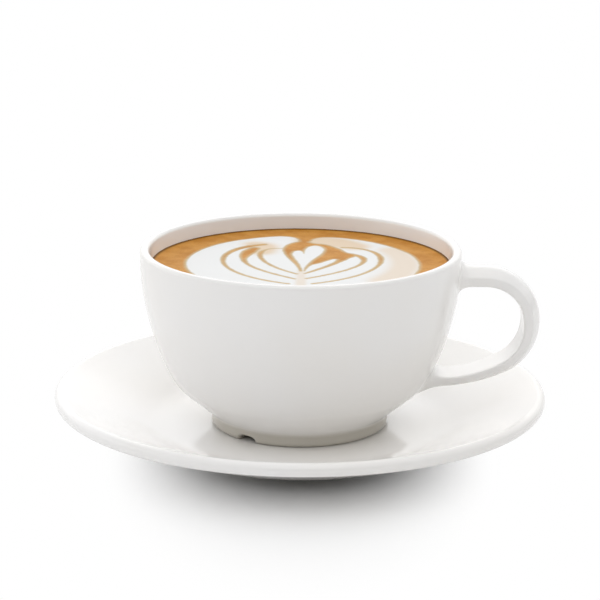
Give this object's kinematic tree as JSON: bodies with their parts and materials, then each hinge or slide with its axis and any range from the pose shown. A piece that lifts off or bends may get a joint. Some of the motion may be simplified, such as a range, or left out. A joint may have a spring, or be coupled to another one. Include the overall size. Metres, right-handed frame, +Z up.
{
  "type": "cappuccino",
  "caption": "Cappuccino with poured leaf pattern, in a round handled porcelain cup that stands on its shallow saucer.",
  "frame": {"origin": "middle of the saucer's foot ring, on the table", "axes": "+Z up, +X from the cup's axis through the handle, -Y towards the drinker, where the poured pattern's stem points"},
  "size_m": [0.15, 0.15, 0.0615],
  "materials": {
    "saucer_porcelain": "gloss",
    "cup_porcelain": "gloss",
    "coffee_crema": "satin, wet foam",
    "milk_foam": "satin, wet foam"
  },
  "bodies": {
    "root": {"saucer": "saucer_porcelain", "cup": "cup_porcelain", "coffee": "coffee_crema", "milk_foam": "milk_foam"}
  },
  "joints": []
}
